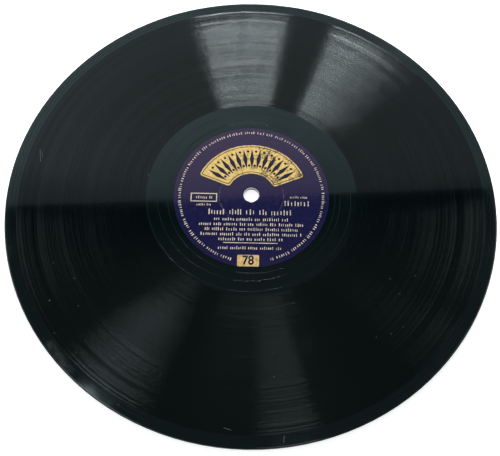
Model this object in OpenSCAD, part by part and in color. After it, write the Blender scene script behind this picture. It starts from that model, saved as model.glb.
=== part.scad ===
// Coarse-groove shellac record: a pressed disc with a paper label let into each playing side.
// The disc lies flat with side A up, and its origin is the centre of the spindle hole on the underside.

/* [Disc] */
// Outside diameter of the disc
disc_d = 250; // [200:1:305]
// Thickness of the disc over its smooth lands
disc_t = 2.1; // [1.8:0.05:3]
// Radius of the rounding along each edge of the rim
rim_round = 0.7; // [0.2:0.05:0.85]
// Diameter of the spindle hole
bore_d = 7.3; // [6:0.01:10]
// Width of the bevel round each mouth of the spindle hole
bevel_w = 0.6; // [0.2:0.05:1.2]
// Depth of that bevel
bevel_depth = 0.3; // [0.1:0.05:0.6]

/* [Grooves] */
// Width of the groove at its mouth
groove_w = 0.16; // [0.1:0.01:0.3]
// Depth of the groove
groove_depth = 0.08; // [0.04:0.005:0.15]
// Spacing of the programme groove from turn to turn
programme_pitch = 0.28; // [0.2:0.01:0.4]
// Radial distance between the programme band and the ends of the lead-in and run-out grooves
groove_gap = 0.3; // [0.2:0.05:1]
// Width of the smooth land between the rim and the programme
rim_land_w = 6; // [4:0.5:12]
// Distance from the rim to the start of the lead-in groove
lead_in_edge = 2; // [1:0.1:3]
// Turns that the lead-in groove takes to reach the programme
lead_in_turns = 2; // [1:1:3]
// Width of the run-out area between the programme and the stop groove
runout_w = 11.2; // [6:0.1:15]
// Turns that the run-out groove takes to reach the stop groove
runout_turns = 2; // [1:1:3]
// Direction from which the run-out groove leaves the programme, in degrees
runout_angle = 326; // [0:1:359]
// Width of the smooth land between the label and the stop groove
label_land_w = 3; // [1:0.1:6]

/* [Labels] */
// Diameter of the paper label
label_d = 79.5; // [60:0.5:100]
// Thickness of the label paper
label_t = 0.12; // [0.08:0.01:0.25]
// Clearance round the label in its seat
label_gap = 0.05; // [0.02:0.01:0.2]
// Diameter of the ring that the press leaves in the label
press_ring_d = 33; // [20:0.5:50]
// Width of that ring
press_ring_w = 0.8; // [0.4:0.1:1.5]
// Depth of that ring
press_ring_depth = 0.04; // [0.02:0.01:0.07]

/* [Hidden] */
$fn = 180;

disc_colour = [0.08, 0.09, 0.09];
label_colour = [0.15, 0.10, 0.36];

// Radii, from the middle outwards
bore_r = bore_d / 2;
bevel_r = bore_r + bevel_w;
press_ring_r = press_ring_d / 2;
label_r = label_d / 2;
seat_r = label_r + label_gap;
stop_r = label_r + label_land_w;
last_groove_r = stop_r + runout_w;
disc_r = disc_d / 2;
first_groove_r = disc_r - rim_land_w;
lead_in_r = disc_r - lead_in_edge;
lead_in_end_r = first_groove_r + groove_gap;
runout_start_r = last_groove_r - groove_gap;

// Heights above the middle plane of the disc
face_z = disc_t / 2;
seat_z = face_z - label_t;

// Radial advance of the spirals in one turn
lead_in_pitch = (lead_in_r - lead_in_end_r) / lead_in_turns;
runout_pitch = (runout_start_r - stop_r) / runout_turns;

// The programme band lies at the mean level of its fine groove
band_z = face_z - groove_w * groove_depth / 2 / programme_pitch;

// Angle between the points of the rim rounding
rim_step = 15;
// Height that a groove cutter stands above the face
cutter_over = 0.05;

function mirrored(points) = [for (i = [len(points) - 1 : -1 : 0]) [points[i][0], -points[i][1]]];

// Half of the disc section above the middle plane, from the spindle hole to the rim
function side_profile() = concat(
    [
        [bore_r, seat_z - bevel_depth],
        [bevel_r, seat_z],
        [seat_r, seat_z],
        [seat_r, face_z],
        [last_groove_r, face_z],
        [last_groove_r, band_z],
        [first_groove_r, band_z],
        [first_groove_r, face_z]
    ],
    [
        for (a = [90 : -rim_step : 0])
            [disc_r - rim_round * (1 - cos(a)), face_z - rim_round * (1 - sin(a))]
    ]
);

// Section of a label, whose inner lip turns down over the bevel of the hole
function label_profile() = [
    [bore_r, seat_z - bevel_depth],
    [bevel_r, seat_z],
    [label_r, seat_z],
    [label_r, face_z],
    [press_ring_r + press_ring_w / 2, face_z],
    [press_ring_r, face_z - press_ring_depth],
    [press_ring_r - press_ring_w / 2, face_z],
    [bevel_r, face_z],
    [bore_r, face_z - bevel_depth]
];

// V of the groove, with its walls carried on a little above the face
module groove_section(r) {
    mouth = groove_w / 2 * (1 + cutter_over / groove_depth);
    translate([r, 0])
        polygon([[0, -groove_depth], [mouth, cutter_over], [-mouth, cutter_over]]);
}

module groove_ring(r) rotate_extrude() groove_section(r);

module groove_half(r) rotate_extrude(angle = 180) groove_section(r);

// Spiral of half turns about two centres, which runs inwards anticlockwise and ends at radius r_end
module groove_spiral(r_end, pitch, turns) {
    for (turn = [0 : turns - 1]) {
        translate([pitch / 2, 0, 0])
            groove_half(r_end + (turn + 0.5) * pitch);
        if (turn > 0)
            rotate([0, 0, 180])
                groove_half(r_end + turn * pitch);
    }
}

// Lead-in, run-out and stop grooves of one side, measured from that side's face
module side_grooves() {
    groove_spiral(lead_in_end_r, lead_in_pitch, lead_in_turns);
    rotate([0, 0, runout_angle])
        groove_spiral(stop_r, runout_pitch, runout_turns);
    groove_ring(stop_r);
}

// The other side is the same side turned over
module both_sides() {
    for (flip = [0, 180])
        rotate([flip, 0, 0])
            translate([0, 0, face_z])
                children();
}

module label() rotate_extrude() polygon(label_profile());

module shellac_disc() {
    color(disc_colour)
        translate([0, 0, face_z])
            difference() {
                rotate_extrude()
                    polygon(concat(side_profile(), mirrored(side_profile())));
                both_sides()
                    side_grooves();
            }
}

module label_side_a() {
    color(label_colour)
        translate([0, 0, face_z])
            label();
}

module label_side_b() {
    color(label_colour)
        translate([0, 0, face_z])
            rotate([180, 0, 0])
                label();
}

shellac_disc();
label_side_a();
label_side_b();
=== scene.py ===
import bpy
import math
import random
import numpy as np
from mathutils import Matrix, Vector


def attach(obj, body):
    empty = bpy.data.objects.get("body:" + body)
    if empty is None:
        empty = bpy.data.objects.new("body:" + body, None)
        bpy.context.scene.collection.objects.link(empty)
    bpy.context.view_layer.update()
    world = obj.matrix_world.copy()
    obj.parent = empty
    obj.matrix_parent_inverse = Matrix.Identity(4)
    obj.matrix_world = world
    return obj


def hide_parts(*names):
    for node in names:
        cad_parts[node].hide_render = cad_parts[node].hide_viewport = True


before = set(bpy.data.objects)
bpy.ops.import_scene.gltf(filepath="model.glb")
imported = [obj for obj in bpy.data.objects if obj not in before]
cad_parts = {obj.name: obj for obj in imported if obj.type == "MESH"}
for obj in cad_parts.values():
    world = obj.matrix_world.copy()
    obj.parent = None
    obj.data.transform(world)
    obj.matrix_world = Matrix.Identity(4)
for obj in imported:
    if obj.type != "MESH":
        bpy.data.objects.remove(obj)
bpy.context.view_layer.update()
scene = bpy.context.scene
scene.view_settings.view_transform = "Standard"
mm = 0.001
fullTurn = 2 * math.pi


# the camera stands where the photo was taken from
viewpoint = {
    "place": (-0.346, -158.07, 318.09),  # mm
    "elevation": 66.2,
    "roll": 1.11,
    "lens": 49.655,
    "sensor": 36,
}


def placeCamera():
    selectNone()
    bpy.ops.object.camera_add()
    camera = bpy.context.object
    camera.data.lens = viewpoint["lens"]
    camera.data.sensor_width = viewpoint["sensor"]
    camera.data.clip_start = 0.01
    camera.data.clip_end = 50
    lift = math.radians(viewpoint["elevation"])
    turn = math.radians(viewpoint["roll"])
    back = Vector((0, -math.cos(lift), math.sin(lift)))
    flat = Vector((0, math.sin(lift), math.cos(lift)))
    side = Vector((1, 0, 0))
    right = math.cos(turn) * side + math.sin(turn) * flat
    up = math.cos(turn) * flat - math.sin(turn) * side
    axes = Matrix((right, up, back)).transposed().to_4x4()
    camera.matrix_world = Matrix.Translation(Vector(viewpoint["place"]) * mm) @ axes
    scene.camera = camera
    print("camera placed")


# node helpers
def feed(tree, node, sockets):
    for name, value in sockets.items():
        socket = node.inputs[name]
        if isinstance(value, bpy.types.NodeSocket):
            tree.links.new(value, socket)
        else:
            socket.default_value = value


def addNode(tree, kind, sockets=None, **settings):
    made = tree.nodes.new(kind)
    for name, value in settings.items():
        setattr(made, name, value)
    feed(tree, made, sockets or {})
    return made


def calc(tree, operation, first, second=0.0, clamp=False):
    sockets = {0: first, 1: second}
    return addNode(tree, "ShaderNodeMath", sockets, operation=operation, use_clamp=clamp).outputs[0]


def vectorCalc(tree, operation, first, second=(0, 0, 0), output="Vector"):
    made = addNode(tree, "ShaderNodeVectorMath", {0: first, 1: second}, operation=operation)
    return made.outputs[output]


def scaled(tree, vector, factor):
    made = addNode(tree, "ShaderNodeVectorMath", {0: vector, "Scale": factor}, operation="SCALE")
    return made.outputs["Vector"]


def flattened(tree, place):
    return vectorCalc(tree, "MULTIPLY", place, (1, 1, 0))


def reach(tree, place):
    return vectorCalc(tree, "LENGTH", flattened(tree, place), output="Value")


def ramp(tree, value, low, high, toLow=0.0, toHigh=1.0):
    sockets = {"Value": value, "From Min": low, "From Max": high, "To Min": toLow, "To Max": toHigh}
    return addNode(tree, "ShaderNodeMapRange", sockets, interpolation_type="SMOOTHSTEP").outputs["Result"]


def blendColour(tree, share, first, second):
    sockets = {"Factor": share}
    for index, value in ((6, first), (7, second)):
        sockets[index] = value if isinstance(value, bpy.types.NodeSocket) else (*value, 1)
    return addNode(tree, "ShaderNodeMix", sockets, data_type="RGBA").outputs[2]


def noise(tree, place, scale, detail=2.0, roughness=0.5):
    sockets = {"Vector": place, "Scale": scale, "Detail": detail, "Roughness": roughness}
    return addNode(tree, "ShaderNodeTexNoise", sockets).outputs["Fac"]


def placeInMm(tree):
    coords = addNode(tree, "ShaderNodeTexCoord")
    return scaled(tree, coords.outputs["Object"], 1 / mm)


def newMaterial(name):
    material = bpy.data.materials.new(name)
    material.use_nodes = True
    tree = material.node_tree
    return material, tree, tree.nodes["Principled BSDF"]


def newGroup(name, vectors, values, result):
    group = bpy.data.node_groups.new(name, "ShaderNodeTree")
    for label in vectors:
        group.interface.new_socket(label, in_out="INPUT", socket_type="NodeSocketVector")
    for label in values:
        group.interface.new_socket(label, in_out="INPUT", socket_type="NodeSocketFloat")
    group.interface.new_socket(result, in_out="OUTPUT", socket_type="NodeSocketFloat")
    return group, group.nodes.new("NodeGroupInput"), group.nodes.new("NodeGroupOutput")


def useGroup(tree, group, sockets):
    return addNode(tree, "ShaderNodeGroup", sockets, node_tree=group).outputs[0]


def buildGroups():
    groups = {}
    # noise that runs along the groove and changes from turn to turn
    group, entry, leave = newGroup("grooveStreak", ["Place"], ["Across", "Along", "Seed"], "Streak")
    place = entry.outputs["Place"]
    heading = vectorCalc(group, "NORMALIZE", flattened(group, place))
    heading = scaled(group, heading, entry.outputs["Along"])
    across = calc(group, "MULTIPLY", reach(group, place), entry.outputs["Across"])
    across = calc(group, "ADD", across, entry.outputs["Seed"])
    across = addNode(group, "ShaderNodeCombineXYZ", {"Z": across}).outputs[0]
    streak = noise(group, vectorCalc(group, "ADD", heading, across), 1.0, 3.0, 0.6)
    group.links.new(streak, leave.inputs["Streak"])
    groups["streak"] = group
    # scattered dust
    group, entry, leave = newGroup("dustSpecks", ["Place"], ["Spacing", "Size", "Share"], "Mask")
    spacing = entry.outputs["Spacing"]
    sockets = {"Vector": entry.outputs["Place"], "Scale": calc(group, "DIVIDE", 1.0, spacing)}
    spots = addNode(group, "ShaderNodeTexVoronoi", sockets)
    draw = addNode(group, "ShaderNodeSeparateColor", {"Color": spots.outputs["Color"]})
    size = calc(group, "MULTIPLY", entry.outputs["Size"], draw.outputs["Green"])
    near = ramp(group, calc(group, "MULTIPLY", spots.outputs["Distance"], spacing), size, 0.0)
    chosen = calc(group, "LESS_THAN", draw.outputs["Red"], entry.outputs["Share"])
    group.links.new(calc(group, "MULTIPLY", near, chosen), leave.inputs["Mask"])
    groups["dust"] = group
    # one straight hairline scratch
    group, entry, leave = newGroup("hairline", ["Place", "From", "To"], ["Width"], "Mask")
    start = entry.outputs["From"]
    offset = vectorCalc(group, "SUBTRACT", flattened(group, entry.outputs["Place"]), start)
    run = vectorCalc(group, "SUBTRACT", entry.outputs["To"], start)
    share = calc(group, "DIVIDE", vectorCalc(group, "DOT_PRODUCT", offset, run, "Value"),
                 vectorCalc(group, "DOT_PRODUCT", run, run, "Value"), clamp=True)
    away = vectorCalc(group, "SUBTRACT", offset, scaled(group, run, share))
    away = vectorCalc(group, "LENGTH", away, output="Value")
    group.links.new(ramp(group, away, entry.outputs["Width"], 0.0), leave.inputs["Mask"])
    groups["hairline"] = group
    # creases and cracks in worn print
    group, entry, leave = newGroup("creases", ["Place"], ["Spacing", "Width"], "Mask")
    place, spacing = entry.outputs["Place"], entry.outputs["Spacing"]
    bend = addNode(group, "ShaderNodeTexNoise", {"Vector": place, "Scale": 0.4, "Detail": 3.0})
    bend = vectorCalc(group, "SUBTRACT", bend.outputs["Color"], (0.5, 0.5, 0.5))
    bent = vectorCalc(group, "ADD", place, scaled(group, bend, 6.0))
    sockets = {"Vector": bent, "Scale": calc(group, "DIVIDE", 1.0, spacing)}
    web = addNode(group, "ShaderNodeTexVoronoi", sockets, feature="DISTANCE_TO_EDGE").outputs["Distance"]
    line = ramp(group, calc(group, "MULTIPLY", web, spacing), entry.outputs["Width"], 0.0)
    patch = ramp(group, noise(group, place, 0.16, 3.0), 0.38, 0.52)
    group.links.new(calc(group, "MULTIPLY", line, patch), leave.inputs["Mask"])
    groups["creases"] = group
    print("shader groups built")
    return groups


# black shellac compound, polished on the lands and grooved on the band, in mm
shellacLook = {
    "black": (0.0013, 0.0038, 0.0042),
    # a darker copy of the shellac black for the grooved band: painted shade of the grooves
    "bandShadedBlack": (0.0004, 0.0018, 0.0020),
    "dust": (0.30, 0.31, 0.30),
    "dustAndGlintShare": 0.45,
    "dustSpots": [(14.0, 0.7, 0.35), (4.0, 0.16, 0.25)],  # spacing, size, share that shows
    # lighter brown rim edge: partly wear, partly a painted highlight on the rounded rim
    "edge": (0.020, 0.018, 0.016),
    "edgeRough": 0.25,
    "rimFrom": 124.2,
    "rimTo": 125.0,
    "tint": (0.80, 0.97, 1.0, 1),
    "landRough": 0.07,
    "landMarkRough": 0.4,
    "landIor": 1.6,
    "bandRough": 0.12,
    "bandMarkRough": 0.3,
    "bandIor": 1.5,
    "wallGloss": 0.22,
    "wobble": 0.03,  # how far the cut swings the groove
    "lean": 0.27,  # how far its walls differ from turn to turn
    "broadStreak": (0.3, 0.25, 3.0),  # changes across each mm, changes along the turn, seed
    "fineStreak": (1.1, 0.3, 40.0),
    "swingStreak": (3.0, 45.0, 90.0),
    "fineShare": 0.8,
    "coat": 0.43,
    "coatRough": 0.06,
    "scratches": [((-111.6, 24.5), (-110.2, 17.0), 0.22), ((-110.3, 22.6), (-109.6, 19.2), 0.16),
                  ((16.3, -121.6), (16.6, -119.0), 0.25), ((-10.2, -115.9), (-7.0, -116.8), 0.22)],
    "scratchShare": 0.6,
    "specks": [(4.5, -46.7), (-96.3, -39.4), (-85.1, -47.0), (-81.5, -61.0), (-91.1, -74.4),
               (-58.1, -106.8), (68.1, -44.3), (72.0, -51.9), (80.4, -42.5), (72.7, -68.2),
               (66.8, -71.7), (11.9, -92.9)],
    "speckLong": (0.3, 0.15),
    "speckSize": 0.5,
    "speckShare": 0.25,
    # a light streak near the rim, drawn in the dust colour: a painted highlight
    "paintedGlint": ((-92.5, -80.5), (-82.0, -92.0), 3.6),
    "paintedGlintShare": 0.16,
}


def hairline(tree, groups, place, start, end, width):
    sockets = {"Place": place, "From": (*start, 0), "To": (*end, 0), "Width": width}
    return useGroup(tree, groups["hairline"], sockets)


def dustMask(tree, groups, place, spacing, size, share):
    sockets = {"Place": place, "Spacing": spacing, "Size": size, "Share": share}
    return useGroup(tree, groups["dust"], sockets)


def marksAndGlintMask(tree, groups, place):
    look = shellacLook
    masks = [dustMask(tree, groups, place, *spots) for spots in look["dustSpots"]]
    for scratch in look["scratches"]:
        masks.append(calc(tree, "MULTIPLY", hairline(tree, groups, place, *scratch), look["scratchShare"]))
    for x, y in look["specks"]:
        end = (x + look["speckLong"][0], y + look["speckLong"][1])
        speck = hairline(tree, groups, place, (x, y), end, look["speckSize"])
        masks.append(calc(tree, "MULTIPLY", speck, look["speckShare"]))
    # a light streak near the rim, mixed in with the dust: a painted highlight
    patchy = ramp(tree, noise(tree, place, 0.3, 4.0), 0.3, 0.7, 0.0, look["paintedGlintShare"])
    masks.append(calc(tree, "MULTIPLY", hairline(tree, groups, place, *look["paintedGlint"]), patchy))
    total = masks[0]
    for mask in masks[1:]:
        total = calc(tree, "MAXIMUM", total, mask)
    return total


def shellacLand(groups):
    look = shellacLook
    material, tree, shader = newMaterial("polishedShellac")
    place = placeInMm(tree)
    marksAndGlint = marksAndGlintMask(tree, groups, place)
    # the rim is lightened in patches: partly wear, partly a painted highlight on its rounding
    lighterMask = ramp(tree, noise(tree, place, 0.35, 4.0), 0.35, 0.65)
    edge = calc(tree, "MULTIPLY", ramp(tree, reach(tree, place), look["rimFrom"], look["rimTo"]), lighterMask)
    colour = blendColour(tree, edge, look["black"], look["edge"])
    colour = blendColour(tree, calc(tree, "MULTIPLY", marksAndGlint, look["dustAndGlintShare"]), colour, look["dust"])
    haze = noise(tree, place, 0.06, 5.0, 0.65)
    rough = ramp(tree, haze, 0.3, 0.75, look["landRough"] - 0.02, look["landRough"] + 0.05)
    rough = calc(tree, "ADD", rough, calc(tree, "MULTIPLY", edge, look["edgeRough"]))
    rough = calc(tree, "ADD", rough, calc(tree, "MULTIPLY", marksAndGlint, look["landMarkRough"]))
    swell = noise(tree, place, 0.05, 1.0)
    bump = addNode(tree, "ShaderNodeBump", {"Height": swell, "Strength": 0.015, "Distance": 0.002})
    feed(tree, shader, {"Base Color": colour, "Roughness": rough, "Normal": bump.outputs[0]})
    feed(tree, shader, {"Specular Tint": look["tint"], "IOR": look["landIor"]})
    return material


def grooveStreak(tree, groups, place, name):
    across, along, seed = shellacLook[name]
    sockets = {"Place": place, "Across": across, "Along": along, "Seed": seed}
    return useGroup(tree, groups["streak"], sockets)


def shellacBand(groups):
    look = shellacLook
    material, tree, shader = newMaterial("groovedShellac")
    place = placeInMm(tree)
    marksAndGlint = marksAndGlintMask(tree, groups, place)
    # dust and scratches, with the painted highlight streak near the rim
    dustAndGlint = calc(tree, "MULTIPLY", marksAndGlint, look["dustAndGlintShare"])
    # the band's darker black is painted shade of the grooves, with dust mixed in
    colour = blendColour(tree, dustAndGlint, look["bandShadedBlack"], look["dust"])
    broad = grooveStreak(tree, groups, place, "broadStreak")
    fine = grooveStreak(tree, groups, place, "fineStreak")
    mixed = calc(tree, "MULTIPLY", broad, 1 - look["fineShare"])
    mixed = calc(tree, "ADD", mixed, calc(tree, "MULTIPLY", fine, look["fineShare"]))
    rough = ramp(tree, mixed, 0.34, 0.66, look["bandRough"] - 0.01, look["bandRough"] + 0.01)
    rough = calc(tree, "ADD", rough, calc(tree, "MULTIPLY", marksAndGlint, look["bandMarkRough"]))
    # the recorded swing of the groove leans its walls along the cut
    swing = grooveStreak(tree, groups, place, "swingStreak")
    swing = calc(tree, "MULTIPLY", calc(tree, "SUBTRACT", swing, 0.5), 2 * look["wobble"])
    outward = vectorCalc(tree, "NORMALIZE", flattened(tree, place))
    along = vectorCalc(tree, "CROSS_PRODUCT", (0, 0, 1), outward)
    facing = addNode(tree, "ShaderNodeNewGeometry").outputs["Normal"]
    lean = calc(tree, "MULTIPLY", calc(tree, "SUBTRACT", fine, 0.5), 2 * look["lean"])
    leaned = vectorCalc(tree, "ADD", scaled(tree, along, swing), scaled(tree, outward, lean))
    leaned = vectorCalc(tree, "NORMALIZE", vectorCalc(tree, "ADD", facing, leaned))
    # the flat tops between the turns mirror the room
    coat = ramp(tree, mixed, 0.3, 0.7, look["coat"] - 0.03, look["coat"] + 0.03)
    side = addNode(tree, "ShaderNodeSeparateXYZ", {0: facing}).outputs["Z"]
    flatTop = addNode(tree, "ShaderNodeCombineXYZ", {"Z": calc(tree, "SIGN", side)}).outputs[0]
    feed(tree, shader, {"Base Color": colour, "Roughness": rough, "Normal": leaned, "Tangent": outward})
    feed(tree, shader, {"Coat Weight": coat, "Coat Normal": flatTop, "Coat Roughness": look["coatRough"]})
    feed(tree, shader, {"Specular IOR Level": look["wallGloss"], "Specular Tint": look["tint"]})
    feed(tree, shader, {"Anisotropic": 1.0, "IOR": look["bandIor"], "Coat IOR": look["bandIor"]})
    return material


# printed paper of the labels, in mm
paperLook = {
    "violet": (0.0082, 0.0093, 0.049),
    "worn": (0.0145, 0.0150, 0.064),
    "bare": (0.80, 0.78, 0.80),
    "bareTo": 4.05,  # from the middle
    # the paper is lightened round the press ring: a painted highlight of the ring's slope
    "highlightRingR": 16.5,  # ring that the press leaves
    "highlightRingShare": 0.06,
    "speckSpots": (5.0, 0.2, 0.3),  # spacing, size, share that shows
    "speckShare": 0.35,
    "cream": (0.74, 0.63, 0.50),
    "gold": (0.86, 0.60, 0.20),
    "paleGold": (0.80, 0.56, 0.22),
    "navy": (0.012, 0.008, 0.028),
    "wear": {"cream": 0.55, "gold": 0.85, "paleGold": 0.6, "navy": 0.0},
    "shade": 0.86,
    "creaseGap": 3.0,
    "creaseWide": 0.5,
    "creasedFrom": -16.0,  # the right half is creased more
    "creasedTo": 10.0,
    "rough": 0.10,
    "ior": 1.78,
    "sheen": (1.0, 0.66, 0.62, 1),  # the dark ink has a bronze gloss
}


def labelPaper(groups):
    look = paperLook
    material, tree, shader = newMaterial("printedPaper")
    place = placeInMm(tree)
    radius = reach(tree, place)
    mottle = noise(tree, place, 0.5, 6.0, 0.6)
    colour = blendColour(tree, ramp(tree, mottle, 0.45, 0.85), look["violet"], look["worn"])
    ragged = calc(tree, "ADD", radius, calc(tree, "MULTIPLY", noise(tree, place, 1.6, 3.0), 0.5))
    bare = ramp(tree, ragged, look["bareTo"] + 0.30, look["bareTo"] + 0.18)
    colour = blendColour(tree, bare, colour, look["bare"])
    # lightening round the press ring is a painted highlight of its slope
    lighterMask = calc(tree, "ABSOLUTE", calc(tree, "SUBTRACT", radius, look["highlightRingR"]))
    lighterMask = calc(tree, "MULTIPLY", ramp(tree, lighterMask, 0.45, 0.1), ramp(tree, mottle, 0.42, 0.62))
    colour = blendColour(tree, calc(tree, "MULTIPLY", lighterMask, look["highlightRingShare"]), colour, look["bare"])
    specks = dustMask(tree, groups, place, *look["speckSpots"])
    colour = blendColour(tree, calc(tree, "MULTIPLY", specks, look["speckShare"]), colour, look["bare"])
    fibre = noise(tree, vectorCalc(tree, "MULTIPLY", place, (6, 2, 6)), 1.0, 4.0, 0.7)
    rough = ramp(tree, mottle, 0.3, 0.7, look["rough"] - 0.03, look["rough"] + 0.05)
    bump = addNode(tree, "ShaderNodeBump", {"Height": fibre, "Strength": 0.06, "Distance": 0.00005})
    feed(tree, shader, {"Base Color": colour, "Roughness": rough, "Normal": bump.outputs[0]})
    feed(tree, shader, {"Specular Tint": look["sheen"], "IOR": look["ior"]})
    return material


def printInk(groups, ink):
    look = paperLook
    tone, wear = look[ink], look["wear"][ink]
    material, tree, shader = newMaterial(ink + "Ink")
    place = placeInMm(tree)
    mottle = noise(tree, place, 0.8, 5.0, 0.6)
    shade = tuple(look["shade"] * part for part in tone)
    colour = blendColour(tree, ramp(tree, mottle, 0.35, 0.7), tone, shade)
    grit = noise(tree, vectorCalc(tree, "MULTIPLY", place, (0.9, 2.6, 1)), 1.0, 8.0, 0.75)
    rubbed = calc(tree, "MULTIPLY", ramp(tree, grit, 0.60, 0.70), wear)
    sockets = {"Place": place, "Spacing": look["creaseGap"], "Width": look["creaseWide"]}
    lines = useGroup(tree, groups["creases"], sockets)
    acrossX = addNode(tree, "ShaderNodeSeparateXYZ", {0: place}).outputs["X"]
    creased = ramp(tree, acrossX, look["creasedFrom"], look["creasedTo"], 0.25 * wear, wear)
    rubbed = calc(tree, "MAXIMUM", rubbed, calc(tree, "MULTIPLY", lines, creased))
    colour = blendColour(tree, rubbed, colour, look["navy"])
    rough = ramp(tree, mottle, 0.3, 0.7, look["rough"] - 0.02, look["rough"] + 0.06)
    feed(tree, shader, {"Base Color": colour, "Roughness": rough})
    return material


# mesh helpers
mergeGap = 1e-6


def enterEdit():
    bpy.ops.object.mode_set(mode="EDIT")


def leaveEdit():
    bpy.ops.object.mode_set(mode="OBJECT")


def selectNone():
    bpy.ops.object.select_all(action="DESELECT")


def readAll(items, name, width, kind=float):
    values = np.empty((len(items), width), dtype=kind)
    items.foreach_get(name, values.ravel())
    return values


def editPiece(piece):
    if bpy.context.mode != "OBJECT":
        leaveEdit()
    selectNone()
    piece.select_set(True)
    bpy.context.view_layer.objects.active = piece
    enterEdit()
    bpy.ops.mesh.select_mode(type="VERT")


def editAll(piece):
    editPiece(piece)
    bpy.ops.mesh.select_all(action="SELECT")


def editNone(piece):
    editPiece(piece)
    bpy.ops.mesh.select_all(action="DESELECT")


def mergeDoubles(piece):
    editAll(piece)
    bpy.ops.mesh.remove_doubles(threshold=mergeGap)
    leaveEdit()


def allRadii(mesh):
    return [math.hypot(vert.co.x, vert.co.y) / mm for vert in mesh.vertices]


def pickVerts(piece, keep):
    editNone(piece)
    leaveEdit()
    for vert in piece.data.vertices:
        vert.select = keep(vert.co)
    enterEdit()


def startPiece(name):
    selectNone()
    bpy.ops.mesh.primitive_plane_add(size=mm)
    piece = bpy.context.object
    piece.name = name
    piece.data.name = name
    editAll(piece)
    return piece


def startChain(name, radius, height):
    piece = startPiece(name)
    bpy.ops.mesh.merge(type="CENTER")
    bpy.ops.transform.translate(value=(radius * mm, 0, height * mm))
    return piece


def extrudeTo(last, points):
    for point in points:
        step = ((point[0] - last[0]) * mm, 0, (point[1] - last[1]) * mm)
        bpy.ops.mesh.extrude_region_move(TRANSFORM_OT_translate={"value": step})
        last = point


def profileChain(name, points):
    piece = startChain(name, *points[0])
    extrudeTo(points[0], points[1:])
    leaveEdit()
    return piece


def spinSelected(steps, sweep):
    bpy.ops.mesh.spin(steps=steps, angle=sweep, center=(0, 0, 0), axis=(0, 0, 1), use_auto_merge=False)


def spinFull(piece, steps):
    editAll(piece)
    spinSelected(steps, fullTurn)
    mergeDoubles(piece)


def flipSelected():
    middle = (0, 0, disc["thick"] / 2 * mm)
    bpy.ops.transform.rotate(value=math.pi, orient_axis="X", center_override=middle)


def joinPieces(pieces):
    selectNone()
    for piece in pieces:
        piece.select_set(True)
    bpy.context.view_layer.objects.active = pieces[0]
    bpy.ops.object.join()
    return pieces[0]


# pressed disc, sizes in mm as in the solid
disc = {
    "radius": 125.0,
    "thick": 2.1,
    "rimRound": 0.7,
    "boreR": 3.65,
    "bevelR": 4.25,
    "bevelDepth": 0.3,
    "seatR": 39.8,
    "seatDepth": 0.12,
    "grooveW": 0.16,
    "grooveDepth": 0.08,
    "stopR": 42.75,
    "runOut": {"low": 43.0, "high": 53.95, "pitch": 5.45, "from": 42.75, "angle": 168},
    "band": {"low": 54.05, "high": 118.95, "pitch": 0.28, "from": 54.1, "angle": 0},
    "leadIn": {"low": 119.0, "high": 123.4, "pitch": 1.85, "from": 119.3, "angle": 0},
    "bandOver": (0.08, 0.03),  # how far the looks of the band go past its two ends
    "bridge": 0.02,  # how far the bridges between the zones reach for their rims
    "shoulder": 0.1,  # flat strip kept beside an edge
    "fade": 20,  # a groove runs out over a twentieth of a turn at the end of its zone
    "wallShade": (0.222, 0.24, 0.085),  # slope of the shaded groove walls, from the inside outwards
    "grooveShade": 0.9,  # the same for the run-out and stop grooves
    "steep": 22.5,  # lean of the smoothed walls in degrees
    "flatFrom": 0.9,
    "sharpFrom": 25,
    "landSteps": 120,
    "bandSteps": 60,
    "rimSteps": 7,
    "bakeOver": 1.0,
}


def spiralSheet(name, zone, steps):
    top = disc["thick"]
    half = disc["grooveW"] / 2
    start = zone["from"]
    groove = [(start - half, top), (start, top - disc["grooveDepth"]), (start + half, top)]
    turns = math.ceil((zone["high"] - zone["low"]) / zone["pitch"]) + 1
    piece = profileChain(name, groove + [(groove[0][0] + zone["pitch"], top)])
    bpy.ops.object.modifier_add(type="ARRAY")
    rows = piece.modifiers[-1]
    rows.count = turns
    rows.use_relative_offset = False
    rows.use_constant_offset = True
    rows.constant_offset_displace = (zone["pitch"] * mm, 0, 0)
    rows.use_merge_vertices = True
    rows.merge_threshold = mergeGap
    bpy.ops.object.modifier_apply(modifier=rows.name)
    inner = min(vert.co.x for vert in piece.data.vertices)
    outer = max(vert.co.x for vert in piece.data.vertices)
    pickVerts(piece, lambda co: co.x < inner + mergeGap)
    extrudeTo((inner / mm, top), [(zone["low"] - zone["pitch"], top)])
    pickVerts(piece, lambda co: co.x > outer - mergeGap)
    end = max(outer / mm, zone["high"] + zone["pitch"]) + disc["shoulder"]
    extrudeTo((outer / mm, top), [(end, top)])
    bpy.ops.mesh.select_all(action="SELECT")
    short = fullTurn * (1 - 1e-4)  # a little short of a turn, so that both ends can be told apart
    spinSelected(steps, short)
    leaveEdit()
    # each turn then closes in by one pitch
    place = readAll(piece.data.vertices, "co", 3) / mm
    spun = np.arctan2(place[:, 1], place[:, 0])
    column = np.rint((spun % fullTurn) / short * steps)
    column[np.abs(spun) < 1e-6] = 0
    straight = np.hypot(place[:, 0], place[:, 1])
    advance = zone["pitch"] * column / steps
    middle = start + zone["pitch"] * np.rint((straight - start) / zone["pitch"]) - advance
    room = np.minimum(middle - zone["low"], zone["high"] - middle) - half
    depth = (top - place[:, 2]) * np.clip(room / zone["pitch"] * disc["fade"], 0, 1)
    radius = np.clip(straight - advance, zone["low"], zone["high"])
    angle = column * fullTurn / steps + math.radians(zone["angle"])
    place = np.column_stack((radius * np.cos(angle), radius * np.sin(angle), top - depth)) * mm
    piece.data.vertices.foreach_set("co", place.ravel())
    mergeDoubles(piece)
    return piece


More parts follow.
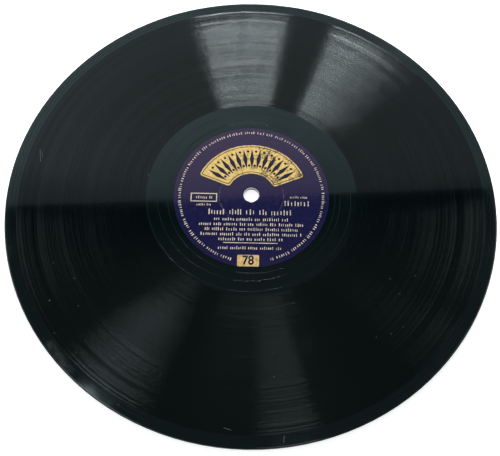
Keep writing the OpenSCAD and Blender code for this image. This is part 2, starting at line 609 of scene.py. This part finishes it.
def bridgeRims(piece, low, high):
    editNone(piece)
    bpy.ops.mesh.select_non_manifold(extend=False, use_wire=False, use_multi_face=False,
                                     use_non_contiguous=False, use_verts=False)
    leaveEdit()
    mesh = piece.data
    radii = allRadii(mesh)
    for edge in mesh.edges:
        edge.select = edge.select and all(low <= radii[index] <= high for index in edge.vertices)
    for index, vert in enumerate(mesh.vertices):
        vert.select = vert.select and low <= radii[index] <= high
    enterEdit()
    bpy.ops.mesh.select_mode(type="EDGE")
    bpy.ops.mesh.bridge_edge_loops()
    leaveEdit()


def hubPoints():
    top = disc["thick"]
    seat = top - disc["seatDepth"]
    half = disc["grooveW"] / 2
    stop = disc["stopR"]
    points = [(disc["boreR"], top / 2), (disc["boreR"], seat - disc["bevelDepth"]), (disc["bevelR"], seat)]
    points += [(disc["seatR"], seat), (disc["seatR"], top), (disc["seatR"] + disc["shoulder"], top)]
    points += [(stop - half, top), (stop, top - disc["grooveDepth"]), (stop + half, top)]
    return points + [(disc["runOut"]["low"], top)]


def rimPoints():
    top = disc["thick"]
    bend = disc["rimRound"]
    points = [(disc["leadIn"]["high"], top), (disc["radius"] - bend - disc["shoulder"], top)]
    for step in range(disc["rimSteps"] + 1):
        lean = math.pi / 2 * (1 - step / disc["rimSteps"])
        points.append((disc["radius"] - bend * (1 - math.cos(lean)), top - bend * (1 - math.sin(lean))))
    return points + [(disc["radius"], top / 2)]


# bake sheet: both faces laid flat side by side, the rim and the hole unrolled round them
bakeSheet = {
    "upper": (0.2935, 0.7065),
    "lower": (0.7065, 0.2935),
    "half": 0.2925,
    "upright": 0.01,
}


def bakeMap(piece, unroll):
    mesh = piece.data
    flat = mesh.uv_layers.new(name="OFBake")
    middle = disc["thick"] / 2
    for face in mesh.polygons:
        upright = abs(face.normal.z) < bakeSheet["upright"]
        upper = face.center.z > middle * mm if upright else face.normal.z > 0
        centre = bakeSheet["upper" if upper else "lower"]
        side = 1 if upper else -1
        for loop in face.loop_indices:
            co = mesh.vertices[mesh.loops[loop].vertex_index].co
            radius = math.hypot(co.x, co.y)
            share = unroll(radius / mm, abs(co.z / mm - middle))
            flat.data[loop].uv = (centre[0] + co.x / radius * share * bakeSheet["half"],
                                  centre[1] + side * co.y / radius * share * bakeSheet["half"])


def discReach(radius, height):
    face = disc["thick"] / 2
    bend = disc["radius"] - disc["rimRound"]
    if radius > bend:
        lean = math.atan2(max(radius - bend, 0), max(height - face + disc["rimRound"], 0) + 1e-9)
        radius = bend + disc["rimRound"] * lean + max(face - disc["rimRound"] - height, 0)
    elif radius < disc["bevelR"] + 0.01:
        radius = radius - max(face - disc["seatDepth"] - height, 0)
    return radius / (disc["radius"] + disc["bakeOver"])


def pressDisc(materials):
    land, band = materials
    hub = profileChain("pressed_disc", hubPoints())
    spinFull(hub, disc["landSteps"])
    rim = profileChain("rim", rimPoints())
    spinFull(rim, disc["landSteps"])
    runOut = spiralSheet("run_out", disc["runOut"], disc["landSteps"])
    leadIn = spiralSheet("lead_in", disc["leadIn"], disc["landSteps"])
    programme = spiralSheet("programme", disc["band"], disc["bandSteps"])
    piece = joinPieces([hub, rim, runOut, leadIn, programme])
    mergeDoubles(piece)
    bridge = disc["bridge"]
    bridgeRims(piece, disc["runOut"]["high"] - bridge, disc["band"]["low"] + bridge)
    bridgeRims(piece, disc["band"]["high"] - bridge, disc["leadIn"]["low"] + bridge)
    # the other side is the same side turned over
    editAll(piece)
    bpy.ops.mesh.duplicate()
    flipSelected()
    mergeDoubles(piece)
    editAll(piece)
    bpy.ops.mesh.normals_make_consistent(inside=False)
    leaveEdit()
    bpy.ops.object.shade_smooth()
    inner = disc["band"]["low"] - disc["bandOver"][0]
    outer = disc["band"]["high"] + disc["bandOver"][1]
    sharpen(piece, inner, outer)
    mesh = piece.data
    mesh.materials.clear()
    mesh.materials.append(land)
    mesh.materials.append(band)
    for face in mesh.polygons:
        if inner < math.hypot(face.center.x, face.center.y) / mm < outer:
            face.material_index = 1
    bakeMap(piece, discReach)
    roundGrooves(mesh, inner, outer)
    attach(piece, "root")
    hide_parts("shellac_disc")
    print("disc pressed:", len(mesh.polygons), "faces")


def roundGrooves(mesh, inner, outer):
    # grooves are shaded round, as the cut and the press leave them, and the lands stay flat
    place = readAll(mesh.vertices, "co", 3)
    facing = readAll(mesh.vertices, "normal", 3)
    radius = np.hypot(place[:, 0], place[:, 1]) / mm
    outward = place[:, :2] / mm / radius[:, None]
    steep = math.tan(math.radians(disc["steep"]))
    shade = np.interp(radius, (inner, (inner + outer) / 2, outer), disc["wallShade"])
    slope = np.sum(facing[:, :2] * outward, axis=1) / np.maximum(np.abs(facing[:, 2]), 1e-6)
    slope = np.clip(slope / steep, -1, 1) * shade
    inBand = (radius > inner) & (radius < outer)
    corners = readAll(mesh.loops, "vertex_index", 1, int)[:, 0]
    counts = readAll(mesh.polygons, "loop_total", 1, int)[:, 0]
    wall = np.repeat(readAll(mesh.polygons, "normal", 3), counts, axis=0)
    cornerRadius = radius[corners]
    cornerSlope = slope[corners]
    side = np.sign(wall[:, 2])
    level = np.abs(wall[:, 2]) > disc["flatFrom"]
    inLand = ~inBand[corners]
    # walls of the single grooves in the lands
    low, high = disc["stopR"] - disc["grooveW"], disc["runOut"]["high"]
    single = ~level & inLand & (cornerRadius > low) & (cornerRadius < high)
    depth = disc["thick"] / 2 - np.abs(place[corners, 2] / mm - disc["thick"] / 2)
    rise = np.clip(1 - depth / disc["grooveDepth"], 0, 1)
    tilt = np.sign(np.sum(wall[:, :2] * outward[corners], axis=1))
    cornerSlope = np.where(single, tilt * rise * disc["grooveShade"], cornerSlope)
    normals = np.column_stack((outward[corners] * cornerSlope[:, None], side))
    normals /= np.linalg.norm(normals, axis=1)[:, None]
    normals[inLand & ~single] = 0  # a zero keeps what the rest has
    level &= inLand & (cornerRadius > disc["seatR"]) & (cornerRadius < disc["leadIn"]["high"])
    normals[level] = wall[level]  # also where a groove runs out
    mesh.normals_split_custom_set(normals)


def sharpen(piece, inner, outer):
    editNone(piece)
    bpy.ops.mesh.select_mode(type="EDGE")
    bpy.ops.mesh.edges_select_sharp(sharpness=math.radians(disc["sharpFrom"]))
    leaveEdit()
    mesh = piece.data
    radii = allRadii(mesh)
    for edge in mesh.edges:  # all but those of the band
        edge.select = edge.select and not all(inner < radii[index] < outer for index in edge.vertices)
    enterEdit()
    bpy.ops.mesh.mark_sharp()
    leaveEdit()


# paper labels, whose lip turns down into the hole
label = {
    "radius": 39.75,
    "boreR": 3.65,
    "bevelR": 4.25,
    "bevelDepth": 0.3,
    "seat": 1.98,
    "top": 2.07,  # the print stands on this, up to the face of the disc
    "edge": 0.03,
    "ringR": 16.5,
    "ringW": 0.8,
    "ringDepth": 0.04,
    "ringShares": (1, 0.6, 0.3, 0, -0.3, -0.6, -1),
    "shoulder": 0.1,
    "lip": [(0.35, 0), (0.25, 0), (0.08, 0.01), (-0.1, 0.06)],  # out from the mouth, down from the top
    "smoothTo": 40,
    "steps": 240,
    "bakeOver": 0.3,
}


def labelPoints():
    seat, top, bevel = label["seat"], label["top"], label["bevelDepth"]
    bore, mouth, edge = label["boreR"], label["bevelR"], label["edge"]
    points = [(bore, seat - bevel), (mouth, seat), (label["radius"], seat), (label["radius"], top - edge)]
    points += [(label["radius"] - edge, top), (label["radius"] - 3 * edge, top)]
    points += [(label["ringR"] + label["ringW"] / 2 + label["shoulder"], top)]
    for share in label["ringShares"]:
        dip = label["ringDepth"] * (0.5 + 0.5 * math.cos(math.pi * share))
        points.append((label["ringR"] + share * label["ringW"] / 2, top - dip))
    points += [(label["ringR"] - label["ringW"] / 2 - label["shoulder"], top)]
    points += [(mouth + out, top - down) for out, down in label["lip"]]
    return points + [(bore, top - bevel), (bore, seat - bevel)]


def labelReach(radius, height):
    return radius / (label["radius"] + label["bakeOver"])


def makeLabel(name, node, material, turnOver):
    piece = profileChain(name, labelPoints())
    spinFull(piece, label["steps"])
    editAll(piece)
    if turnOver:
        flipSelected()
    bpy.ops.mesh.normals_make_consistent(inside=False)
    leaveEdit()
    bpy.ops.object.shade_smooth_by_angle(angle=math.radians(label["smoothTo"]))
    piece.data.materials.clear()
    piece.data.materials.append(material)
    bakeMap(piece, labelReach)
    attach(piece, "root")
    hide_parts(node)
    print(name, "made")


# generic print of the labels: ornament, rows of strokes and the speed, in mm
printing = {
    "low": 2.068,
    "first": 2.085,
    "second": 2.1,
    "sunk": 0.002,  # how far the second layer starts inside the first
    "ringR": 36.8,
    "ringH": 1.5,
    "ringGap": 19,
    "ringStroke": (0.28, 0.52),
    "arch": {"inner": 12.2, "outer": 29.2, "from": 22, "to": 158, "border": 0.75, "line": 0.4,
             "steps": 18, "round": 1.45, "roundSteps": 5},
    "rays": {"count": 13, "inner": 14.9, "outer": 26.7, "wide": 2.3, "sweep": 116,
             "dot": 0.7, "dotsAt": (17.0, 25.4), "dotSteps": 16},
    "rows": [  # x, y, width, height, and where unusual the strokes' weight and spacing as shares of that
        (0, -9.9, 43, 3.0, 0.16, 0.36),
        (0, -13.9, 37, 1.7),
        (0, -16.7, 52, 1.7),
        (0, -19.4, 46, 1.7),
        (0, -22.1, 50, 1.7),
        (0, -24.8, 32, 1.7),
        (0, -29.5, 32, 1.6),
        (-24.2, -2.0, 7.8, 1.496),
        (-24.2, -6.048, 7.15, 1.3),
        (24.0, -4.6, 14, 2.8, 0.18, 0.38),
        (24.0, -1.1, 8.4, 1.2),
    ],
    "stroke": {"word": (3, 8), "wide": (0.8, 1.35), "tall": (0.70, 0.70, 0.76, 1.0),
               "drop": (0.4, 1.0), "space": (0.7, 1.3), "gap": 0.55},
    "rule": {"y": -26.8, "wide": 27, "high": 0.4},
    "speedBox": {"x": -1.0, "y": -36.2, "wide": 10.7, "high": 6.0, "round": 0.5, "roundSteps": 4},
    "speed": {"words": "78", "size": 6.6, "narrow": 0.86, "bold": 0.2},
    "sideBox": {"x": -24.2, "y": -2.0, "wide": 13, "high": 4.4, "line": 0.5},
}


def startPrint(name):
    piece = startPiece(name)
    bpy.ops.mesh.delete(type="VERT")
    return piece


def addBar(x, y, wide, high):
    place = (x * mm, y * mm, printing["low"] * mm)
    bpy.ops.mesh.primitive_plane_add(size=wide * mm, location=place)
    bpy.ops.transform.resize(value=(1, high / wide, 1), center_override=place)


def strokeRow(draw, x, y, wide, high, weight=0.25, space=0.36):
    habit = printing["stroke"]
    left = x - wide / 2
    right = x + wide / 2
    word = draw.randint(*habit["word"])
    while left < right:
        stroke = high * weight * draw.uniform(*habit["wide"])
        tall = high * draw.choice(habit["tall"])
        addBar(left + stroke / 2, y + (tall - high) / 2 * draw.choice(habit["drop"]), stroke, tall)
        left += stroke + high * space * draw.uniform(*habit["space"])
        word -= 1
        if word == 0:
            left += high * habit["gap"]
            word = draw.randint(*habit["word"])


def strokeRing(draw, material):
    piece = startPrint("ring")
    radius, high = printing["ringR"], printing["ringH"]
    left = printing["ringGap"] / 2  # room for the speed
    right = fullTurn * radius - left
    strokeRow(draw, (left + right) / 2, 0, right - left, high, *printing["ringStroke"])
    leaveEdit()
    for vert in piece.data.vertices:  # the row is wrapped round the label
        turn = -math.pi / 2 - vert.co.x / (radius * mm)
        away = radius * mm + vert.co.y
        vert.co.x = away * math.cos(turn)
        vert.co.y = away * math.sin(turn)
    editPiece(piece)
    raiseFaces(printing["first"] - printing["low"])
    piece.data.materials.append(material)
    return piece


def raiseFaces(height):
    bpy.ops.mesh.select_all(action="SELECT")
    bpy.ops.mesh.extrude_region_move(TRANSFORM_OT_translate={"value": (0, 0, height * mm)})
    bpy.ops.mesh.select_all(action="SELECT")
    bpy.ops.mesh.normals_make_consistent(inside=False)
    leaveEdit()


def creamPrint(draw, material):
    piece = startPrint("cream")
    for row in printing["rows"]:
        strokeRow(draw, *row)
    rule, box = printing["rule"], printing["sideBox"]
    addBar(0, rule["y"], rule["wide"], rule["high"])
    half, tall, line = box["wide"] / 2, box["high"] / 2, box["line"]
    for side in (-1, 1):
        addBar(box["x"] + side * half, box["y"], line, box["high"] + line)
        addBar(box["x"], box["y"] + side * tall, box["wide"] - line, line)
    raiseFaces(printing["first"] - printing["low"])
    piece.data.materials.append(material)
    return piece


def archPanel(gold, navy):
    arch = printing["arch"]
    piece = startChain("arch", arch["inner"], printing["low"])
    extrudeTo((arch["inner"], 0), [(arch["outer"], 0)])
    bpy.ops.mesh.select_all(action="SELECT")
    spinSelected(arch["steps"], math.radians(arch["to"] - arch["from"]))
    leaveEdit()
    mesh = piece.data
    heading = [math.atan2(vert.co.y, vert.co.x) for vert in mesh.vertices]
    lean = math.pi / 2 - (min(heading) + max(heading)) / 2
    ends = (min(heading) + 1e-4, max(heading) - 1e-4)
    corners = {index for index, angle in enumerate(heading) if angle < ends[0] or angle > ends[1]}
    mesh.transform(Matrix.Rotation(lean, 4, "Z"))
    editNone(piece)
    leaveEdit()
    for index in corners:
        mesh.vertices[index].select = True
    enterEdit()
    bpy.ops.mesh.bevel(offset=arch["round"] * mm, segments=arch["roundSteps"], affect="VERTICES")
    bpy.ops.mesh.select_all(action="SELECT")
    bpy.ops.mesh.normals_make_consistent(inside=False)
    mesh.materials.append(gold)
    mesh.materials.append(navy)
    bpy.ops.mesh.select_mode(type="FACE")
    bpy.ops.mesh.select_all(action="SELECT")
    for thickness, slotIndex in ((arch["border"], 1), (arch["line"], 0)):
        bpy.ops.mesh.inset(thickness=thickness * mm)
        piece.active_material_index = slotIndex
        bpy.ops.object.material_slot_assign()
    raiseFaces(printing["first"] - printing["low"])
    return piece


def copyRound(copies, sweep):
    bpy.ops.mesh.spin(steps=copies, dupli=True, angle=sweep, center=(0, 0, 0), axis=(0, 0, 1))


def addPlate(corners, radius, place):
    bpy.ops.mesh.primitive_circle_add(vertices=corners, radius=radius * mm, fill_type="NGON",
                                      location=place)


def turnSelected(angle):
    bpy.ops.transform.rotate(value=angle, orient_axis="Z", center_override=(0, 0, 0))


def archOrnament(navy):
    rays = printing["rays"]
    height = printing["first"] - printing["sunk"]
    piece = startPrint("rays")
    long = rays["outer"] - rays["inner"]
    place = (0, (rays["inner"] + long / 2) * mm, height * mm)
    half = math.radians(rays["sweep"] / 2)
    gap = 2 * half / (rays["count"] - 1)
    # a lozenge and a dot are made at the top, turned to the right end and copied back
    addPlate(4, rays["wide"] / 2, place)
    bpy.ops.transform.resize(value=(1, long / rays["wide"], 1), center_override=place)
    turnSelected(half)
    copyRound(rays["count"] - 1, -2 * half)
    for radius in rays["dotsAt"]:
        place = (0, radius * mm, height * mm)
        addPlate(rays["dotSteps"], rays["dot"], place)
        turnSelected(half - gap / 2)
        copyRound(rays["count"] - 2, gap - 2 * half)
    raiseFaces(printing["second"] - height)
    piece.data.materials.append(navy)
    return piece


def speedPanel(paleGold):
    box = printing["speedBox"]
    piece = startPrint("speed_panel")
    addBar(box["x"], box["y"], box["wide"], box["high"])
    bpy.ops.mesh.bevel(offset=box["round"] * mm, segments=box["roundSteps"], affect="VERTICES")
    raiseFaces(printing["first"] - printing["low"])
    piece.data.materials.append(paleGold)
    return piece


def printLabel(name, inks, seed, turnOver):
    cream, gold, paleGold, navy = inks
    draw = random.Random(seed)
    layers = [strokeRing(draw, cream), creamPrint(draw, cream), archPanel(gold, navy), archOrnament(navy)]
    layers += [speedPanel(paleGold), speedMark(navy)]
    piece = joinPieces(layers)
    piece.name = name
    piece.data.name = name
    if turnOver:
        editAll(piece)
        flipSelected()
        leaveEdit()
    bakeMap(piece, labelReach)
    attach(piece, "root")
    print(name, "printed:", len(piece.data.polygons), "faces")


def speedMark(navy):
    box, speed = printing["speedBox"], printing["speed"]
    height = printing["first"] - printing["sunk"]
    selectNone()
    bpy.ops.object.text_add()
    words = bpy.context.object
    words.data.body = speed["words"]
    words.data.size = speed["size"] * mm
    words.data.align_x = "CENTER"
    words.data.align_y = "CENTER"
    words.data.offset = speed["bold"] * mm
    bpy.ops.object.convert(target="MESH")
    words = bpy.context.object
    place = Matrix.Translation((box["x"] * mm, box["y"] * mm, height * mm))
    words.data.transform(place @ Matrix.Diagonal((speed["narrow"], 1, 1, 1)))
    mergeDoubles(words)
    editPiece(words)
    raiseFaces(printing["second"] - height)
    words.data.materials.clear()
    words.data.materials.append(navy)
    return words


placeCamera()
groups = buildGroups()
land = shellacLand(groups)
band = shellacBand(groups)
paper = labelPaper(groups)
inks = [printInk(groups, ink) for ink in ("cream", "gold", "paleGold", "navy")]
pressDisc((land, band))
makeLabel("paper_label_a", "label_side_a", paper, False)
makeLabel("paper_label_b", "label_side_b", paper, True)
printLabel("label_print_a", inks, 7, False)
printLabel("label_print_b", inks, 19, True)


# studio: pale floor, softboxes behind and in front, dim cards overhead, lights at the sides, a dim wall
studio = {
    "floor": {"colour": (0.90, 0.90, 0.90, 1), "lift": 0.70, "rough": 0.9, "gloss": 0.1, "wide": 12,
              "below": 0.00002},
    "world": (-0.3, 0.45, 0.78, 0.41),  # from and to, then the light on the left and on the right
    "overhead": (0.84, 0.90, 1.0, 0.6),  # from and to, then the shares of that below and high up
    "sideDim": (0.05, 0.32, 0.0, 0.36),  # the sides darken towards the cards
    "sideDimBelow": (0.465, 0.43),
    "worldTint": (0.89, 1.0, 1.02, 1),
    "lampTint": (0.98, 0.985, 0.99),
    "wall": {"light": 0.16, "aside": 0.1, "away": 4.4, "wide": 7.5, "high": 4.1},  # m
    "mirrorLine": ((-97, -7.7), (97, 4.6)),  # where the edges of both cards show on the disc, mm
    "ceiling": {"high": 0.6, "deep": 3.0, "wide": 0.8, "light": 0.09, "edge": 0.09},
    "shelf": {"high": 0.15, "deep": 0.115, "wide": 0.36, "light": 0.09, "edge": 0.0},
    "sideLight": {"high": 0.45, "inner": 128, "outer": 210, "edge": 0.3, "steps": 12},
    "sides": {"rightLight": (88, 138, 1.7), "leftLight": (266, 230, 1.3)},  # two headings, light
    "dimFrom": 0.4,  # share of a card from which its light goes over to that of its edge
    "boxes": [
        {"heading": -5.8, "rise": 31.5, "wide": 5.8, "high": 12, "power": 57.0, "away": 4.0, "calm": 0.3},
        {"heading": 1.62, "rise": 31.5, "wide": 6.25, "high": 12, "power": 61.5, "away": 4.0, "calm": 0.3},
        {"heading": 16.75, "rise": 31, "wide": 4.9, "high": 12, "power": 4.6, "away": 1.2, "calm": 0.35},
        {"heading": 22.5, "rise": 30, "wide": 4.0, "high": 12, "power": 0.47, "away": 0.6, "calm": 0.35},
        {"heading": 26.15, "rise": 30, "wide": 3.3, "high": 12, "power": 0.20, "away": 0.6, "calm": 0.35},
        {"heading": 29.7, "rise": 30, "wide": 3.8, "high": 12, "power": 0.083, "away": 0.6, "calm": 0.35},
        {"heading": 200, "rise": 35, "wide": 30, "high": 16, "power": 0.8, "away": 1.2},
        {"heading": 252.8, "rise": 65.9, "wide": 12.5, "high": 12, "power": 0.233, "away": 0.602},
        {"heading": 153.1, "rise": 74.7, "wide": 8.4, "high": 10, "power": 0.085, "away": 0.57},
    ],
}


def softBox(box):
    turn, rise, away = math.radians(box["heading"]), math.radians(box["rise"]), box["away"]
    aim = Vector((math.sin(turn) * math.cos(rise), math.cos(turn) * math.cos(rise), math.sin(rise)))
    calm = box.get("calm", 0)  # share of the light that is sampled at the lamp alone, with less grain
    for share, mirrored in ((1 - calm, True), (calm, False)):
        if share == 0:
            continue
        selectNone()
        bpy.ops.object.light_add(type="AREA")
        lamp = bpy.context.object
        lamp.data.shape = "RECTANGLE"
        lamp.data.size = 2 * away * math.tan(math.radians(box["wide"] / 2))
        lamp.data.size_y = 2 * away * math.tan(math.radians(box["high"] / 2))
        lamp.data.energy = box["power"] * share
        lamp.data.color = studio["lampTint"]
        lamp.data.cycles.use_multiple_importance_sampling = mirrored
        axes = aim.to_track_quat("Z", "Y").to_matrix().to_4x4()
        lamp.matrix_world = Matrix.Translation(aim * away) @ axes
        lamp.visible_camera = False


def dimCard(card, light, edge):
    material, tree, shader = newMaterial(card.name + "Grey")
    flat = addNode(tree, "ShaderNodeTexCoord").outputs["UV"]
    share = addNode(tree, "ShaderNodeSeparateXYZ", {0: flat}).outputs["Y"]
    strength = ramp(tree, share, studio["dimFrom"], 1.0, light, edge)
    feed(tree, shader, {"Base Color": (0, 0, 0, 1), "Specular IOR Level": 0})
    feed(tree, shader, {"Emission Color": (1, 1, 1, 1), "Emission Strength": strength})
    card.data.materials.append(material)
    card.visible_camera = False
    card.visible_shadow = False


def mirrorGrowth(high):
    # how much larger a thing at this height is than its mirror image in the disc
    eye = Vector(viewpoint["place"])
    return eye, (eye.z + high) / eye.z


def edgeCard(name):
    # a level card whose edge shows mirrored in the disc
    card = studio[name]
    high = card["high"] / mm
    eye, grow = mirrorGrowth(high)
    edge = []
    for x, y in studio["mirrorLine"]:
        edge.append(Vector((eye.x + (x - eye.x) * grow, eye.y + (y - eye.y) * grow, high)) * mm)
    along = (edge[1] - edge[0]).normalized()
    inward = Vector((along.y, -along.x, 0))
    selectNone()
    bpy.ops.mesh.primitive_plane_add(size=1)
    plane = bpy.context.object
    plane.name = name
    middle = (edge[0] + edge[1]) / 2 + inward * card["deep"] / 2
    axes = Matrix((along, -inward, Vector((0, 0, 1)))).transposed().to_4x4()
    size = Matrix.Diagonal((card["wide"], card["deep"], 1, 1))
    plane.data.transform(Matrix.Translation(middle) @ axes @ size)
    dimCard(plane, card["light"], card["edge"])


def sideLight(name, near, far, light):
    # a level arc whose inner edge shows mirrored just outside the rim
    arc = studio["sideLight"]
    high = arc["high"] / mm
    eye, grow = mirrorGrowth(high)
    card = profileChain(name, [(arc["inner"] * grow, high), (arc["outer"] * grow, high)])
    editAll(card)
    spinSelected(arc["steps"], math.radians(abs(far - near)))
    leaveEdit()
    mesh = card.data
    mesh.transform(Matrix.Rotation(math.radians(90 - min(near, far)), 4, "Z"))
    for loop in mesh.loops:
        place = mesh.vertices[loop.vertex_index].co
        heading = math.degrees(math.atan2(place.x, place.y)) % 360
        mesh.uv_layers.active.data[loop.index].uv = (0, (heading - near) / (far - near))
    mesh.transform(Matrix.Translation((eye.x * (1 - grow) * mm, eye.y * (1 - grow) * mm, 0)))
    dimCard(card, light, arc["edge"])


def layFloor():
    look = studio["floor"]
    selectNone()
    bpy.ops.mesh.primitive_plane_add(size=look["wide"], location=(0, 0, -look["below"]))
    floor = bpy.context.object
    floor.name = "floor"
    material, tree, shader = newMaterial("paleFloor")
    path = addNode(tree, "ShaderNodeLightPath")
    seen = calc(tree, "MAXIMUM", path.outputs["Is Camera Ray"], path.outputs["Is Glossy Ray"])
    seen = calc(tree, "MAXIMUM", seen, path.outputs["Is Transmission Ray"])
    lift = calc(tree, "MULTIPLY", seen, look["lift"])
    feed(tree, shader, {"Base Color": look["colour"], "Roughness": look["rough"]})
    feed(tree, shader, {"Specular IOR Level": look["gloss"]})
    feed(tree, shader, {"Emission Color": (1, 1, 1, 1), "Emission Strength": lift})
    floor.data.materials.append(material)


def lightRoom():
    world = bpy.data.worlds.new("studioWorld")
    scene.world = world
    world.use_nodes = True
    room = world.node_tree
    way = addNode(room, "ShaderNodeTexCoord").outputs["Generated"]
    way = addNode(room, "ShaderNodeSeparateXYZ", {0: way})
    light = ramp(room, way.outputs["X"], *studio["world"])
    light = calc(room, "MULTIPLY", light, ramp(room, way.outputs["Z"], *studio["overhead"]))
    aside = ramp(room, calc(room, "ABSOLUTE", way.outputs["X"]), *studio["sideDim"])
    dim = calc(room, "MULTIPLY", aside, ramp(room, way.outputs["Y"], *studio["sideDimBelow"]))
    light = calc(room, "MULTIPLY", light, calc(room, "SUBTRACT", 1.0, dim))
    feed(room, room.nodes["Background"], {"Strength": light, "Color": studio["worldTint"]})


def standWall():
    # a dim wall behind the softboxes
    wall = studio["wall"]
    bpy.ops.mesh.primitive_plane_add(size=1)
    card = bpy.context.object
    card.name = "wall"
    upright = Matrix.Rotation(math.pi / 2, 4, "X") @ Matrix.Diagonal((wall["wide"], wall["high"], 1, 1))
    card.data.transform(Matrix.Translation((wall["aside"], wall["away"], wall["high"] / 2)) @ upright)
    dimCard(card, wall["light"], wall["light"])


def buildStudio():
    layFloor()
    lightRoom()
    edgeCard("ceiling")
    edgeCard("shelf")
    for name, side in studio["sides"].items():
        sideLight(name, *side)
    standWall()
    for box in studio["boxes"]:
        softBox(box)
    print("studio set")


buildStudio()
